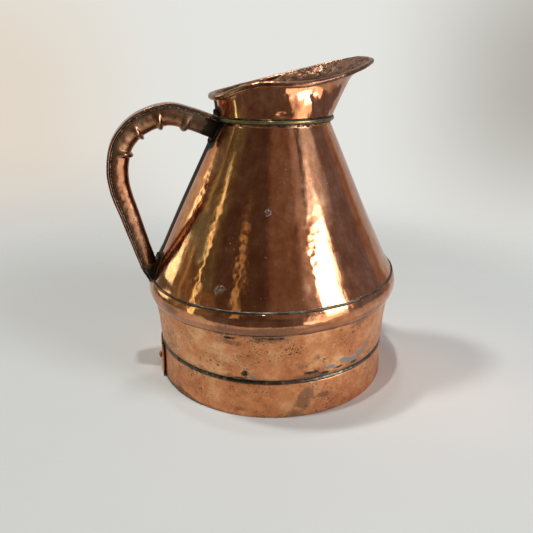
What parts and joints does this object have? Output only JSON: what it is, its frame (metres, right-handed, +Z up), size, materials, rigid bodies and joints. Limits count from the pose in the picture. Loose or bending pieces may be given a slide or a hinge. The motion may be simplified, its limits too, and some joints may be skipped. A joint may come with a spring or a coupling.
{
  "type": "jug",
  "caption": "Tall conical copper jug with a drum-shaped base, an open spouted neck and a hollow side handle with finger ridges.",
  "frame": {"origin": "on the table, under the middle of the jug's bounding box; the jug's own axis is 15.4 mm along +X from it", "axes": "+Z up, +X from the handle towards the spout, +Y across"},
  "size_m": [0.2856, 0.2548, 0.3146],
  "materials": {
    "polished_copper": "polished hammered copper, glossy",
    "dull_copper": "satin copper with pits and dark stains",
    "brown_copper": "brown handled copper, half matte",
    "brass": "rubbed brass with green in its edges",
    "solder": "dull grey-green solder and patina"
  },
  "bodies": {
    "root": {"foot_band": "dull_copper", "foot_rivet": "dull_copper", "foot_solder": "solder", "base_plate": "dull_copper", "base_solder": "solder", "lower_body": "dull_copper", "band_solder": "solder", "shoulder_band": "polished_copper", "shoulder_solder": "solder", "cone_body": "polished_copper", "neck_solder_lower": "solder", "neck_ring": "brass", "neck_solder_upper": "solder", "neck_collar": "polished_copper", "rim_wire": "brown_copper", "handle_grip": "brown_copper", "handle_strap": "brown_copper", "handle_seam_near": "solder", "handle_seam_far": "solder", "handle_top_solder": "solder", "handle_bottom_solder": "solder"}
  },
  "joints": []
}
